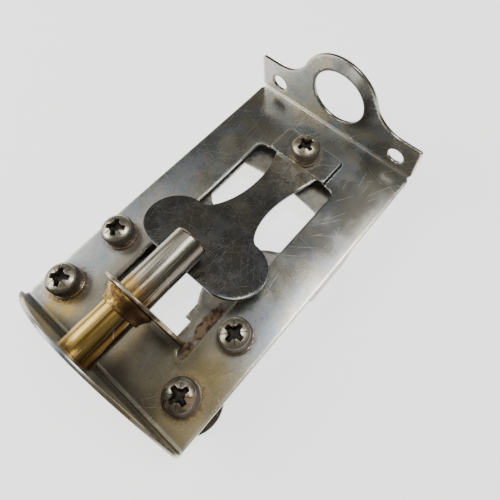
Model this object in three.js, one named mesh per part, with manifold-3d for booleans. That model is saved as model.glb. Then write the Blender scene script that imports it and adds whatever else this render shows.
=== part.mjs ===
// Toggle bolt latch: a bent sheet-metal body that carries a sliding round bolt, a sprung T-shaped
// leaf under the bolt, a mounting plate below, and five screw stacks that hold the layers together.
//
// Working frame, in millimetres: x runs from the front flange to the eye flange, y across the body,
// z up. x = 0 is the front bend line, z = 0 the top of the body sheet. The root group moves the
// origin to the bottom centre of the whole latch.

import * as THREE from 'three';
import { mergeVertices } from 'three/addons/utils/BufferGeometryUtils.js';
import Module from 'manifold-3d';

const wasm = await Module();
wasm.setup();

// ---------------------------------------------------------------- driving dimensions

const SHEET = 0.8;                 // thickness of the body, the leaf and the mounting plate
const SEAT = 0.05;                 // clearance between stacked faces

const BODY_LENGTH = 81.4;          // front bend line to the inner face of the eye flange
const BODY_HALF_WIDTH = 25;
const FRONT_FACE = -0.5;           // inner face of the front flange at its foot
const BODY_START = FRONT_FACE - SHEET;
const BODY_END = BODY_LENGTH + SHEET;
const FRONT_LEAN = 0.0785;         // it leans in over the body, radians past upright
const FRONT_BEND = 0.5;            // inner bend radii
const EYE_BEND = 0.4;
const TONGUE_BEND = 0.8;

const BOLT_AXIS_Z = 12.3;
const BOLT_RADIUS = 3.95;
const BOLT_START = -0.4;           // flush with the front flange
const BOLT_END = 30.9;
const BOLT_BORE = BOLT_RADIUS + 0.08;
const COLLAR_START = 10.9;
const COLLAR_END = 14.1;
const COLLAR_RADIUS = 4.6;
const COLLAR_FLARE = 5.7;

const ARCH_TOP = 20.5;             // front flange height over the body sheet
const ARCH_DROP = 20.4;            // its fall towards the sides, squared and fourth-power terms
const ARCH_EASE = 2.0;
const TONGUE_BEND_X = 13.4;        // where the tongue leaves the body sheet
const TONGUE_TOP = 17.5;
const TONGUE_HALF_WIDTH = 10.9;
const TONGUE_FOOT_HALF_WIDTH = 10.4;
const TONGUE_SHOULDER_Z = 3.0;     // centre height of its half-oval top

const WINDOW_END = 65.5;
const WINDOW_HALF_WIDTH = 12.45;
const WINDOW_CORNER = 2;
const RELIEF_START = 12.15;        // slots beside the tongue's foot
const RELIEF_CORNER = 0.8;

const EYE_FLANGE_LOW = 10.8;       // height of the flange beside the lug
const LUG_CENTRE_Z = 12.6;
const LUG_RADIUS = 11.35;
const LUG_FILLET = 9.2;
const EYE_CENTRE_Z = 12.1;
const EYE_RADIUS = 7.5;
const PIN_HOLE_Y = 19.0;
const PIN_HOLE_Z = 4.7;
const PIN_HOLE_RADIUS = 2.25;
const FLANGE_CORNER = 0.8;

const PAD_HEIGHT = 1.0;            // raised pad that clears the leaf's root
const PAD_FLANK = 0.7;
const PAD_HALF_WIDTH = 8.7;
const PAD_END = 73.8;
const PAD_CORNER = 1.2;
const PAD_WALL = 0.5;

const PLATE_TOP = -3.0;            // mounting plate
const PLATE_BOTTOM = PLATE_TOP - SHEET;
const PLATE_START = 2.5;
const PLATE_END = 78;
const PLATE_HALF_WIDTH = 23.6;
const PLATE_CORNER = 3;
const EAR_START = 41;
const EAR_END = 57;
const EAR_OUTER = 24.6;
const EAR_BOTTOM = -8.6;
const EAR_BEND = 0.5;
const EAR_CORNER = 3;

const LEAF_TOP = 0.15;             // top of the clamped root
const LEAF_BOTTOM = LEAF_TOP - SHEET;
const LEAF_BEND_X = 60;
const LEAF_ANGLE = 0.228;          // rise of the free leaf, radians
const LEAF_SPLIT = 0.15;           // root and leaf each stop this far from the bend line
const LEAF_NECK_X = -8.2;          // from the bend line, along the leaf
const LEAF_NECK_HALF_WIDTH = 4.15;
const LEAF_FLARE_RADIUS = 38;
const LEAF_LOBE_X = -27.75;
const LEAF_LOBE_Y = 8.6;
const LEAF_LOBE_RADIUS = 7.7;
const LEAF_ROOT_HALF_WIDTH = 7.4;
const LEAF_ROOT_END = 72.8;

const SHANK_RADIUS = 1.95;
const SCREW_CLEARANCE = 2.15;
const THREAD_CLEARANCE = 2.0;
const HEAD_RADIUS = 3.75;
const HEAD_HEIGHT = 3.1;
const HEAD_WALL = 1.3;             // straight part of the head's side
const RECESS_DEPTH = 1.7;
const RECESS_REACH = 2.35;
const RECESS_WIDTH = 1.15;

const FLAT_WASHER = { radius: 3.95, height: 0.85 };
const LOCK_WASHER = { radius: 3.6, height: 1.15, gap: 0.7 };
const SPACER_RADIUS = 4;
const NUT_WASHER = { radius: 4.5, height: 0.75 };
const NUT = { flats: 7, height: 3.2 };
const SLEEVE = { radius: 3, headHeight: 1.6, boreEnd: -7.6 };
const TAIL = -8.5;                 // lowest end of a screw that carries a nut

const LEFT_ROW = 19.5;             // the two rows of screws beside the bolt
const RIGHT_ROW = -18.0;
const SCREWS = {
  a: { x: 23.0, y: LEFT_ROW, turn: 0.58, tail: TAIL, nut: 'hex' },
  b: { x: 7.2, y: LEFT_ROW, turn: 0.6, tail: SLEEVE.boreEnd + 0.2, nut: 'sleeve', head: 6.2 },
  c: { x: 23.0, y: RIGHT_ROW, turn: 0.02, tail: TAIL, nut: 'hex' },
  d: { x: 7.2, y: RIGHT_ROW, turn: -0.22, tail: SLEEVE.boreEnd + 0.2, nut: 'sleeve', head: 7.4 },
  e: { x: 69.1, y: 0, turn: -0.33, tail: TAIL, nut: 'hex', onPad: true },
};

const ROUND = 24;                  // sides of small round pieces
const FINE_ROUND = 48;             // sides of the bolt, its bores and the eye

// ---------------------------------------------------------------- geometry helpers

const X = new THREE.Vector3(1, 0, 0);
const Y = new THREE.Vector3(0, 1, 0);
const Z = new THREE.Vector3(0, 0, 1);
const ALONG_Z = new THREE.Matrix4();                                    // outline in x, y
const ALONG_X = new THREE.Matrix4().makeBasis(Y, Z, X);                 // outline in y, z
const ALONG_Y = new THREE.Matrix4().makeBasis(X, Z, Y.clone().negate()); // outline in x, z

const point = (x, y) => new THREE.Vector2(x, y);
const mirrored = (points) => points.map((p) => point(p.x, -p.y)).reverse();

// Points of a circular arc, one about every ten degrees unless a number of steps is given.
function arc(cx, cy, radius, from, to, steps = Math.ceil(Math.abs(to - from) / (Math.PI / 18))) {
  return Array.from({ length: steps + 1 }, (_, i) => {
    const angle = from + ((to - from) * i) / steps;
    return point(cx + radius * Math.cos(angle), cy + radius * Math.sin(angle));
  });
}

const circle = (cx, cy, radius, sides) => arc(cx, cy, radius, 0, 2 * Math.PI, sides).slice(0, -1);

const rectangle = (x0, y0, x1, y1) => [point(x0, y0), point(x1, y0), point(x1, y1), point(x0, y1)];

// Rectangle whose far corners (at x1) and near corners (at x0) have their own radii.
function roundedRectangle(x0, y0, x1, y1, near, far) {
  const quarter = Math.PI / 2;
  return [
    ...(near ? arc(x0 + near, y0 + near, near, 2 * quarter, 3 * quarter, 5) : [point(x0, y0)]),
    ...(far ? arc(x1 - far, y0 + far, far, 3 * quarter, 4 * quarter, 5) : [point(x1, y0)]),
    ...(far ? arc(x1 - far, y1 - far, far, 0, quarter, 5) : [point(x1, y1)]),
    ...(near ? arc(x0 + near, y1 - near, near, quarter, 2 * quarter, 5) : [point(x0, y1)]),
  ];
}

// A closed geometry as a solid for cutting and joining.
function solid(geometry, matrix) {
  const bare = geometry.clone();
  bare.deleteAttribute('normal');
  bare.deleteAttribute('uv');
  if (matrix) bare.applyMatrix4(matrix);
  const merged = mergeVertices(bare, 1e-5);
  return new wasm.Manifold(new wasm.Mesh({
    numProp: 3,
    vertProperties: new Float32Array(merged.attributes.position.array),
    triVerts: new Uint32Array(merged.index.array),
  }));
}

// Outline pushed from one coordinate to another along z, x or y (y only symmetrically).
function prism(outline, from, to, direction = ALONG_Z) {
  const geometry = new THREE.ExtrudeGeometry(new THREE.Shape(outline), {
    depth: to - from,
    bevelEnabled: false,
  });
  geometry.translate(0, 0, from);
  return solid(geometry, direction);
}

// Profile of (radius, height) points turned about the z axis through (x, y).
function turned(profile, x, y, sides = ROUND) {
  const geometry = new THREE.LatheGeometry(profile.map(([r, h]) => point(r, h)), sides);
  geometry.rotateX(Math.PI / 2);
  geometry.translate(x, y, 0);
  return solid(geometry);
}

function ring(x, y, inner, outer, bottom, top, sides = ROUND) {
  return turned([[inner, bottom], [outer, bottom], [outer, top], [inner, top], [inner, bottom]],
    x, y, sides);
}

const post = (x, y, radius, bottom, top, sides = ROUND) =>
  turned([[0, bottom], [radius, bottom], [radius, top], [0, top]], x, y, sides);

function geometryOf(manifold) {
  const { vertProperties, triVerts } = manifold.getMesh();
  const geometry = new THREE.BufferGeometry();
  geometry.setAttribute('position', new THREE.BufferAttribute(vertProperties, 3));
  geometry.setIndex(new THREE.BufferAttribute(triVerts, 1));
  geometry.computeVertexNormals();
  return geometry;
}

// ---------------------------------------------------------------- body

// Side view of the body sheet: front flange, floor and eye flange in one strip.
function bodyProfile() {
  const half = Math.PI / 2;
  const eyeBendX = BODY_LENGTH - EYE_BEND;
  const eyeTop = LUG_CENTRE_Z + LUG_RADIUS;
  const reach = ARCH_TOP + 2;
  const rise = (foot) => point(foot.x + reach * Math.sin(FRONT_LEAN),
    foot.y + reach * Math.cos(FRONT_LEAN));
  const outerBend = arc(0, FRONT_BEND, FRONT_BEND + SHEET, 2 * half - FRONT_LEAN, 3 * half);
  const innerBend = arc(0, FRONT_BEND, FRONT_BEND, -half, -2 * half - FRONT_LEAN, 4);
  return [
    rise(outerBend[0]),
    ...outerBend,
    ...arc(eyeBendX, EYE_BEND, EYE_BEND + SHEET, 3 * half, 4 * half),
    point(BODY_END, eyeTop),
    point(BODY_LENGTH, eyeTop),
    ...arc(eyeBendX, EYE_BEND, EYE_BEND, 0, -half, 4),
    ...innerBend,
    rise(innerBend.at(-1)),
  ];
}

// Front flange seen along x: a shallow arch that falls to low rounded corners.
function archOutline() {
  const archAt = (y) => {
    const u = y / BODY_HALF_WIDTH;
    return ARCH_TOP - ARCH_DROP * u ** 2 + ARCH_EASE * u ** 4;
  };
  const steps = 14;
  const archEnd = 0.95 * BODY_HALF_WIDTH;
  const side = Array.from({ length: steps }, (_, i) => {
    const y = archEnd * (1 - i / steps);
    return point(y, archAt(y));
  });
  const cornerZ = archAt(BODY_HALF_WIDTH);
  const corner = new THREE.QuadraticBezierCurve(
    point(BODY_HALF_WIDTH, cornerZ - 1.2),
    point(BODY_HALF_WIDTH, cornerZ),
    side[0],
  ).getPoints(4).slice(0, -1);
  const right = [...corner, ...side];
  const left = right.map((p) => point(-p.x, p.y)).reverse();
  return [point(-BODY_HALF_WIDTH, -2), point(BODY_HALF_WIDTH, -2), ...right,
    point(0, ARCH_TOP), ...left];
}

// Eye flange seen along x: low shoulders that sweep up to a round lug.
function eyeFlangeOutline() {
  const filletZ = EYE_FLANGE_LOW + LUG_FILLET;
  const rise = filletZ - LUG_CENTRE_Z;
  const filletY = Math.sqrt((LUG_RADIUS + LUG_FILLET) ** 2 - rise ** 2);
  const lean = Math.atan2(rise, filletY);
  const half = Math.PI / 2;
  const right = [
    ...arc(BODY_HALF_WIDTH - FLANGE_CORNER, EYE_FLANGE_LOW - FLANGE_CORNER, FLANGE_CORNER, 0, half, 3),
    ...arc(filletY, filletZ, LUG_FILLET, -half, -Math.PI + lean),
    ...arc(0, LUG_CENTRE_Z, LUG_RADIUS, lean, half).slice(1),
  ];
  const left = right.slice(0, -1).map((p) => point(-p.x, p.y)).reverse();
  return [point(-BODY_HALF_WIDTH, -2), point(BODY_HALF_WIDTH, -2), ...right, ...left];
}

// Tongue that is bent up out of the window to guide the bolt.
function tongue() {
  const half = Math.PI / 2;
  const profile = [
    point(TONGUE_BEND_X - 1, -SHEET),
    ...arc(TONGUE_BEND_X, TONGUE_BEND, TONGUE_BEND + SHEET, -half, 0, 6),
    point(TONGUE_BEND_X + TONGUE_BEND + SHEET, TONGUE_TOP + 1),
    point(TONGUE_BEND_X + TONGUE_BEND, TONGUE_TOP + 1),
    ...arc(TONGUE_BEND_X, TONGUE_BEND, TONGUE_BEND, 0, -half, 5),
    point(TONGUE_BEND_X - 1, 0),
  ];
  const corner = TONGUE_HALF_WIDTH - TONGUE_FOOT_HALF_WIDTH;
  const footTop = 1;
  const top = new THREE.EllipseCurve(0, TONGUE_SHOULDER_Z, TONGUE_HALF_WIDTH,
    TONGUE_TOP - TONGUE_SHOULDER_Z, 0, Math.PI);
  const outline = [
    point(-TONGUE_FOOT_HALF_WIDTH, -2),
    point(TONGUE_FOOT_HALF_WIDTH, -2),
    ...arc(TONGUE_FOOT_HALF_WIDTH, footTop + corner, corner, -half, 0, 4),
    ...top.getPoints(28),
    ...arc(-TONGUE_FOOT_HALF_WIDTH, footTop + corner, corner, 2 * half, 3 * half, 4),
  ];
  return prism(profile, -TONGUE_HALF_WIDTH, TONGUE_HALF_WIDTH, ALONG_Y)
    .intersect(prism(outline, TONGUE_BEND_X - 2, TONGUE_BEND_X + 4, ALONG_X));
}

// Block with sloped flanks: the pad's outside, or the hollow under it.
function padBlock(inset, bottom, top) {
  const overhang = 2;
  const outline = roundedRectangle(WINDOW_END - overhang, -PAD_HALF_WIDTH + inset,
    PAD_END - inset, PAD_HALF_WIDTH - inset, 0, PAD_CORNER);
  const geometry = new THREE.ExtrudeGeometry(new THREE.Shape(outline), {
    depth: 1, bevelThickness: PAD_HEIGHT, bevelSize: PAD_FLANK, bevelSegments: 1,
  });
  geometry.translate(0, 0, top - PAD_HEIGHT - 1);
  const clip = rectangle(WINDOW_END - (inset ? 1 : 0), -20, PAD_END + 5, 20);
  return solid(geometry).intersect(prism(clip, bottom, top + 1));
}

function bodyPlate() {
  const outlines = prism(archOutline(), -3, 20, ALONG_X)
    .add(prism(rectangle(-BODY_HALF_WIDTH, -2, BODY_HALF_WIDTH, 2), 20, 60, ALONG_X))
    .add(prism(eyeFlangeOutline(), 60, BODY_LENGTH + 3, ALONG_X));
  const strip = prism(bodyProfile(), -BODY_HALF_WIDTH, BODY_HALF_WIDTH, ALONG_Y);

  const window = prism(roundedRectangle(TONGUE_BEND_X, -WINDOW_HALF_WIDTH, WINDOW_END,
    WINDOW_HALF_WIDTH, 0, WINDOW_CORNER), -2, 1);
  let body = strip.intersect(outlines).subtract(window);
  for (const side of [-1, 1]) {
    const [low, high] = [side * TONGUE_FOOT_HALF_WIDTH, side * WINDOW_HALF_WIDTH].sort((a, b) => a - b);
    const slot = roundedRectangle(RELIEF_START, low, TONGUE_BEND_X + 2, high, RELIEF_CORNER, 0);
    body = body.subtract(prism(slot, -2, 1));
  }
  body = body.add(tongue())
    .add(padBlock(0, -SHEET / 2, PAD_HEIGHT))
    .subtract(padBlock(PAD_WALL, -3, PAD_HEIGHT - SHEET));

  const bores = [
    prism(circle(0, BOLT_AXIS_Z, BOLT_BORE, FINE_ROUND), -3, 16, ALONG_X),
    prism(circle(0, EYE_CENTRE_Z, EYE_RADIUS, FINE_ROUND), BODY_LENGTH - 1, BODY_END + 1, ALONG_X),
    ...[-1, 1].map((side) =>
      prism(circle(side * PIN_HOLE_Y, PIN_HOLE_Z, PIN_HOLE_RADIUS, ROUND),
        BODY_LENGTH - 1, BODY_END + 1, ALONG_X)),
    ...Object.values(SCREWS).map(({ x, y }) => post(x, y, SCREW_CLEARANCE, -3, 3)),
  ];
  for (const bore of bores) body = body.subtract(bore);

  const notch = (side) => [point(BODY_LENGTH - 1.2, side * (BODY_HALF_WIDTH + 0.1)),
    point(BODY_LENGTH - 0.2, side * (BODY_HALF_WIDTH - 0.8)),
    point(BODY_END + 0.5, side * (BODY_HALF_WIDTH + 0.1))];
  body = body.subtract(prism(notch(-1), -2, 0.9)).subtract(prism(notch(1).reverse(), -2, 0.9));
  return body;
}

// ---------------------------------------------------------------- mounting plate

// Opening through the mounting plate: a wide far end, a slot between two round lobes and a
// short near end.
function plateOpening() {
  const farRadius = 69;
  const farX = 60.2;
  const farHalf = 12.6;
  const farAngle = Math.asin(farHalf / farRadius);
  const farEdge = arc(farX - farRadius, 0, farRadius, 0, farAngle, 4);
  const lobeX = 31.5;
  const lobeY = 17;
  const lobeRadius = 14.5;
  const lobe = arc(lobeX, lobeY, lobeRadius, -0.42, -Math.PI + 0.95, 12);
  const upper = [
    ...farEdge,
    point(46.2, farHalf),
    ...lobe,
    point(19.1, 5.3),
    point(19.1, 7),
    point(14.6, 7),
  ];
  return [...upper, ...mirrored(upper).slice(0, -1)];
}

function ears() {
  const half = Math.PI / 2;
  const bendY = EAR_OUTER - SHEET - EAR_BEND;
  const bendZ = PLATE_BOTTOM - EAR_BEND;
  const right = [
    ...arc(bendY, bendZ, EAR_BEND + SHEET, half, 0, 5),
    point(EAR_OUTER, EAR_BOTTOM),
    point(EAR_OUTER - SHEET, EAR_BOTTOM),
    ...arc(bendY, bendZ, EAR_BEND, 0, half, 4),
  ];
  const left = right.map((p) => point(-p.x, p.y)).reverse();
  const side = [
    point(EAR_START, 0),
    ...arc(EAR_START + EAR_CORNER, EAR_BOTTOM + EAR_CORNER, EAR_CORNER, 2 * half, 3 * half, 6),
    ...arc(EAR_END - EAR_CORNER, EAR_BOTTOM + EAR_CORNER, EAR_CORNER, -half, 0, 6),
    point(EAR_END, 0),
  ];
  return prism([...right, ...left].reverse(), EAR_START, EAR_END, ALONG_X)
    .intersect(prism(side, -30, 30, ALONG_Y));
}

function mountingPlate() {
  const sheet = prism(roundedRectangle(PLATE_START, -PLATE_HALF_WIDTH, PLATE_END, PLATE_HALF_WIDTH,
    PLATE_CORNER, PLATE_CORNER), PLATE_BOTTOM, PLATE_TOP);
  let plate = sheet.add(ears()).subtract(prism(plateOpening(), -6, 0));
  for (const { x, y } of Object.values(SCREWS)) {
    plate = plate.subtract(post(x, y, SCREW_CLEARANCE, -6, 0));
  }
  return plate;
}

// ---------------------------------------------------------------- leaf

// Half-width of the leaf between the neck and the root, at a distance from the neck.
const flareAt = (distance) => LEAF_NECK_HALF_WIDTH + LEAF_FLARE_RADIUS
  - Math.sqrt(LEAF_FLARE_RADIUS ** 2 - distance ** 2);

const flare = (from, to, steps) => Array.from({ length: steps + 1 }, (_, i) => {
  const x = from + ((to - from) * i) / steps;
  return point(x, flareAt(x - LEAF_NECK_X));
});

// Free leaf in its own plane; x = 0 is the bend line and the leaf runs towards -x.
function leafOutline() {
  const lobeSide = LEAF_LOBE_X + LEAF_LOBE_RADIUS;
  const waist = new THREE.CubicBezierCurve(
    point(LEAF_NECK_X, LEAF_NECK_HALF_WIDTH),
    point(LEAF_NECK_X - 6.6, LEAF_NECK_HALF_WIDTH),
    point(lobeSide, LEAF_LOBE_Y - 2),
    point(lobeSide, LEAF_LOBE_Y),
  ).getPoints(10);
  const upper = [
    ...flare(-LEAF_SPLIT, LEAF_NECK_X, 4),
    ...waist.slice(1),
    ...arc(LEAF_LOBE_X, LEAF_LOBE_Y, LEAF_LOBE_RADIUS, 0, Math.PI, 20).slice(1),
  ];
  return [...upper, ...mirrored(upper)];
}

function leafRoot() {
  const start = LEAF_BEND_X + LEAF_SPLIT;
  const upper = flare(LEAF_SPLIT, WINDOW_END + 0.5 - LEAF_BEND_X, 4)
    .map((p) => point(p.x + LEAF_BEND_X, p.y));
  upper.push(point(WINDOW_END + 1.3, LEAF_ROOT_HALF_WIDTH));
  upper.push(...arc(LEAF_ROOT_END - 1, LEAF_ROOT_HALF_WIDTH - 1, 1, Math.PI / 2, 0, 4));
  upper[0].x = start;
  const outline = [...upper, ...mirrored(upper)].reverse();
  return prism(outline, LEAF_BOTTOM, LEAF_TOP)
    .subtract(post(SCREWS.e.x, SCREWS.e.y, SCREW_CLEARANCE, -3, 3));
}

// ---------------------------------------------------------------- bolt

function alongBolt(profile) {
  const geometry = new THREE.LatheGeometry(profile.map(([r, h]) => point(r, h)), FINE_ROUND);
  geometry.rotateZ(-Math.PI / 2);
  geometry.translate(0, 0, BOLT_AXIS_Z);
  return solid(geometry);
}

function bolt() {
  const chamfer = 0.35;
  return alongBolt([
    [0, BOLT_START], [BOLT_RADIUS - chamfer, BOLT_START], [BOLT_RADIUS, BOLT_START + chamfer],
    [BOLT_RADIUS, BOLT_END - chamfer], [BOLT_RADIUS - chamfer, BOLT_END], [0, BOLT_END],
  ]);
}

function collar() {
  const inner = BOLT_RADIUS + SEAT;
  return alongBolt([
    [inner, COLLAR_START], [COLLAR_RADIUS, COLLAR_START], [COLLAR_RADIUS, COLLAR_START + 0.9],
    [COLLAR_RADIUS + 0.45, COLLAR_START + 1.6], [COLLAR_FLARE, COLLAR_END - 0.5],
    [COLLAR_FLARE, COLLAR_END], [inner, COLLAR_END], [inner, COLLAR_START],
  ]);
}

// ---------------------------------------------------------------- screw stacks

// Cross recess: two crossed tapered slots and a square core.
function recess(turn, top) {
  const arm = (angle) => {
    const geometry = new THREE.CylinderGeometry(RECESS_REACH * Math.SQRT2, 1.2, RECESS_DEPTH * 1.2, 4);
    geometry.rotateY(Math.PI / 4);
    geometry.scale(1, 1, RECESS_WIDTH / (2 * RECESS_REACH));
    geometry.rotateX(Math.PI / 2);
    geometry.rotateZ(angle);
    geometry.translate(0, 0, top - RECESS_DEPTH * 0.4);
    return solid(geometry);
  };
  return arm(turn).add(arm(turn + Math.PI / 2));
}

function screw({ x, y, turn, tail }, seat) {
  const top = seat + HEAD_HEIGHT;
  const dome = [
    [HEAD_RADIUS, seat + HEAD_WALL], [HEAD_RADIUS * 0.965, seat + HEAD_HEIGHT * 0.62],
    [HEAD_RADIUS * 0.84, seat + HEAD_HEIGHT * 0.8], [HEAD_RADIUS * 0.62, seat + HEAD_HEIGHT * 0.93],
    [HEAD_RADIUS * 0.32, top],
  ];
  const blank = turned([
    [0, tail], [SHANK_RADIUS - 0.4, tail], [SHANK_RADIUS, tail + 0.5], [SHANK_RADIUS, seat],
    [HEAD_RADIUS, seat], ...dome, [0, top],
  ], 0, 0);
  return blank.subtract(recess(turn, top)).translate([x, y, 0]);
}

function lockWasher({ x, y, turn }, bottom) {
  const { radius, height, gap } = LOCK_WASHER;
  const split = prism(rectangle(0, -gap / 2, 2 * radius, gap / 2), -1, height + 1)
    .rotate([0, 0, THREE.MathUtils.radToDeg(turn) - 40]);
  return ring(0, 0, SCREW_CLEARANCE, radius, 0, height).subtract(split).translate([x, y, bottom]);
}

function hexNut({ x, y }, top) {
  const corners = NUT.flats / Math.sqrt(3);
  return prism(circle(x, y, corners, 6), top - NUT.height, top)
    .subtract(post(x, y, THREAD_CLEARANCE, top - NUT.height - 1, top + 1));
}

function sleeveNut({ x, y, head }, top) {
  const headTop = EAR_BOTTOM + SLEEVE.headHeight;
  return turned([
    [0, EAR_BOTTOM], [head - 0.4, EAR_BOTTOM], [head, EAR_BOTTOM + 0.4],
    [head, headTop], [SLEEVE.radius, headTop], [SLEEVE.radius, top], [0, top],
  ], x, y, 32).subtract(post(x, y, THREAD_CLEARANCE, SLEEVE.boreEnd, top + 1));
}

// ---------------------------------------------------------------- assembly

const FINISH = {
  body: { color: 0x9c968a, roughness: 0.34, metalness: 1 },
  plate: { color: 0x8f8a7d, roughness: 0.42, metalness: 1 },
  leaf: { color: 0x77777a, roughness: 0.3, metalness: 1 },
  bolt: { color: 0xb39a70, roughness: 0.28, metalness: 1 },
  collar: { color: 0x8a6231, roughness: 0.5, metalness: 1 },
  fastener: { color: 0x8b8377, roughness: 0.36, metalness: 1 },
  sleeve: { color: 0x4c443b, roughness: 0.5, metalness: 1 },
};

const latch = new THREE.Group();
const frame = new THREE.Group();
latch.add(frame);

function place(name, manifold, finish, parent = frame) {
  const mesh = new THREE.Mesh(geometryOf(manifold), new THREE.MeshStandardMaterial(FINISH[finish]));
  mesh.name = name;
  parent.add(mesh);
}

place('base_plate', bodyPlate(), 'body');
place('mounting_plate', mountingPlate(), 'plate');
place('bolt', bolt(), 'bolt');
place('stop_collar', collar(), 'collar');
place('leaf_root', leafRoot(), 'leaf');

const leafFrame = new THREE.Group();
leafFrame.position.set(LEAF_BEND_X, 0, LEAF_TOP);
leafFrame.rotation.y = LEAF_ANGLE;
frame.add(leafFrame);
place('toggle_leaf', prism(leafOutline(), -SHEET, 0), 'leaf', leafFrame);

for (const [letter, stack] of Object.entries(SCREWS)) {
  const surface = stack.onPad ? PAD_HEIGHT : 0;
  const flatBottom = surface + SEAT;
  const lockBottom = flatBottom + FLAT_WASHER.height + SEAT;
  const headSeat = lockBottom + LOCK_WASHER.height + SEAT;
  const spacerTop = (stack.onPad ? LEAF_BOTTOM : -SHEET) - SEAT;
  const nutSide = PLATE_BOTTOM - SEAT;
  const { x, y } = stack;
  place(`screw_${letter}`, screw(stack, headSeat), 'fastener');
  place(`lock_washer_${letter}`, lockWasher(stack, lockBottom), 'fastener');
  place(`flat_washer_${letter}`, ring(x, y, SCREW_CLEARANCE, FLAT_WASHER.radius, flatBottom,
    flatBottom + FLAT_WASHER.height), 'fastener');
  place(`spacer_${letter}`, ring(x, y, SCREW_CLEARANCE, SPACER_RADIUS, PLATE_TOP + SEAT, spacerTop),
    'fastener');
  if (stack.nut === 'sleeve') {
    place(`sleeve_nut_${letter}`, sleeveNut(stack, nutSide), 'sleeve');
  } else {
    const washerBottom = nutSide - NUT_WASHER.height;
    place(`nut_washer_${letter}`, ring(x, y, SCREW_CLEARANCE, NUT_WASHER.radius, washerBottom,
      nutSide), 'fastener');
    place(`nut_${letter}`, hexNut(stack, washerBottom - SEAT), 'fastener');
  }
}

frame.position.set(-(BODY_START + BODY_END) / 2, 0, -EAR_BOTTOM);

export default latch;
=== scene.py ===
# Looks of the toggle bolt latch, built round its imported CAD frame.
#
# Lengths are in millimetres until loose_mesh() turns them into metres. The drawing frame is the
# CAD drawing's own: x from the front bend line towards the eye flange, y across, z up from the top
# of the body sheet. ORIGIN is that frame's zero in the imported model.

import functools
import math
import bmesh
import bpy
import numpy as np
from mathutils import Matrix, Vector, noise
from mathutils.geometry import delaunay_2d_cdt
from mathutils.kdtree import KDTree


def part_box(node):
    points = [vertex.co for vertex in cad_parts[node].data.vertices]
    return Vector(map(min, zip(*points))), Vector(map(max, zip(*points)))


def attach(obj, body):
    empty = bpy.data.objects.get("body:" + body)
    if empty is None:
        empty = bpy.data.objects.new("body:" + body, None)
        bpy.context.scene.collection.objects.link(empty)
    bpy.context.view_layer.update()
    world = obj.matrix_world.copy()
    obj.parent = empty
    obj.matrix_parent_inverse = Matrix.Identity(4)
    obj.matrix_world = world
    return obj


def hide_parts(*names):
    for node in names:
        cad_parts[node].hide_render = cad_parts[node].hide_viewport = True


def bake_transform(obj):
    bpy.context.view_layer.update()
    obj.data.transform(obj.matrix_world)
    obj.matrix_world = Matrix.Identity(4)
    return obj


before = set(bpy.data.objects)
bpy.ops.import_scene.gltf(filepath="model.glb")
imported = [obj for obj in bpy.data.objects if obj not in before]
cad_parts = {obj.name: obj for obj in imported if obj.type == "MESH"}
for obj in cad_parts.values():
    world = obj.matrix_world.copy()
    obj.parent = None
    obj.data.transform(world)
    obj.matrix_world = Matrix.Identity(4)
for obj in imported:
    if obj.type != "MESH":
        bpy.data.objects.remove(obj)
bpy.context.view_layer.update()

# ---------------------------------------------------------------- driving dimensions

MM = 0.001
SHEET = 0.8                  # thickness of every sheet piece
HALF = SHEET / 2
EDGE = 0.12                  # rounding of the sheets' cut edges

FRONT_BEND = 0.9             # bend radii at the middle of the sheet
EYE_BEND = 0.8
TONGUE_BEND = 1.2
EAR_BEND = 0.9
LEAF_BEND = 6.0
FRONT_LEAN = 0.0785          # the front flange leans in over the body, radians past upright

body_low, body_high = (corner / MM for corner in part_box("base_plate"))
ORIGIN = Vector((body_low.x + FRONT_BEND + HALF, 0, body_low.z + SHEET))


def box_of(node):
    """Lowest and highest corners of a CAD node, in the drawing frame."""
    low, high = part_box(node)
    return low / MM - ORIGIN, high / MM - ORIGIN


HALF_WIDTH = body_high.y
FLOOR_END = body_high.x - ORIGIN.x - EYE_BEND - HALF

bolt_low, bolt_high = box_of("bolt")
BOLT_Z = (bolt_low.z + bolt_high.z) / 2
BOLT_RADIUS = (bolt_high.z - bolt_low.z) / 2
BORE_RADIUS = BOLT_RADIUS + 0.1

ARCH = (20.5, 20.4, 2.0)     # front flange height, and its square and fourth-power falls
TONGUE_BEND_X = 13.4         # where the tongue leaves the body sheet
TONGUE_HALF_WIDTH = 10.9
TONGUE_FOOT = 10.4           # its half width at the bend
TONGUE_SHOULDER = 3.0        # height of the middle of its half-oval top
TONGUE_TOP = 17.5
RELIEF_START = 12.15         # slots beside the tongue's foot
RELIEF_CORNER = 0.8
WINDOW_END = 65.5
WINDOW_HALF_WIDTH = 12.45
WINDOW_CORNER = 2.0

FLANGE_LOW = 10.8            # height of the eye flange beside its lug
LUG_Z = 12.6
LUG_RADIUS = 11.35
LUG_FILLET = 9.2
EYE_Z = 12.1
EYE_RADIUS = 7.5
PIN_HOLE = (19.0, 4.7, 2.25) # y, z and radius

PAD_HEIGHT = 1.0             # raised pad over the leaf's root
PAD_FLANK = 0.55
PAD_HALF_WIDTH = 8.7
PAD_END = 73.8
PAD_CORNER = 1.2

plate_low, plate_high = box_of("mounting_plate")
PLATE_TOP = -3.0
PLATE_HALF_WIDTH = 23.6
PLATE_CORNER = 3.0
EAR_START = 41.0
EAR_END = 57.0
EAR_BEND_Y = plate_high.y - HALF - EAR_BEND

LEAF_TOP = 0.15
LEAF_BEND_X = 60.0
LEAF_ANGLE = 0.228
LEAF_ROOT_BEND = LEAF_BEND_X + LEAF_BEND * math.tan(LEAF_ANGLE / 2)
LEAF_NECK = (51.8, 4.15)     # where it is narrowest, and its half width there
LEAF_FLARE = 38.0            # radius of its sides from neck to root
LEAF_LOBE = (32.25, 8.6, 7.7)    # x, y and radius of a lobe
LEAF_ROOT_HALF_WIDTH = 7.4
LEAF_ROOT_END = 72.8

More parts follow.
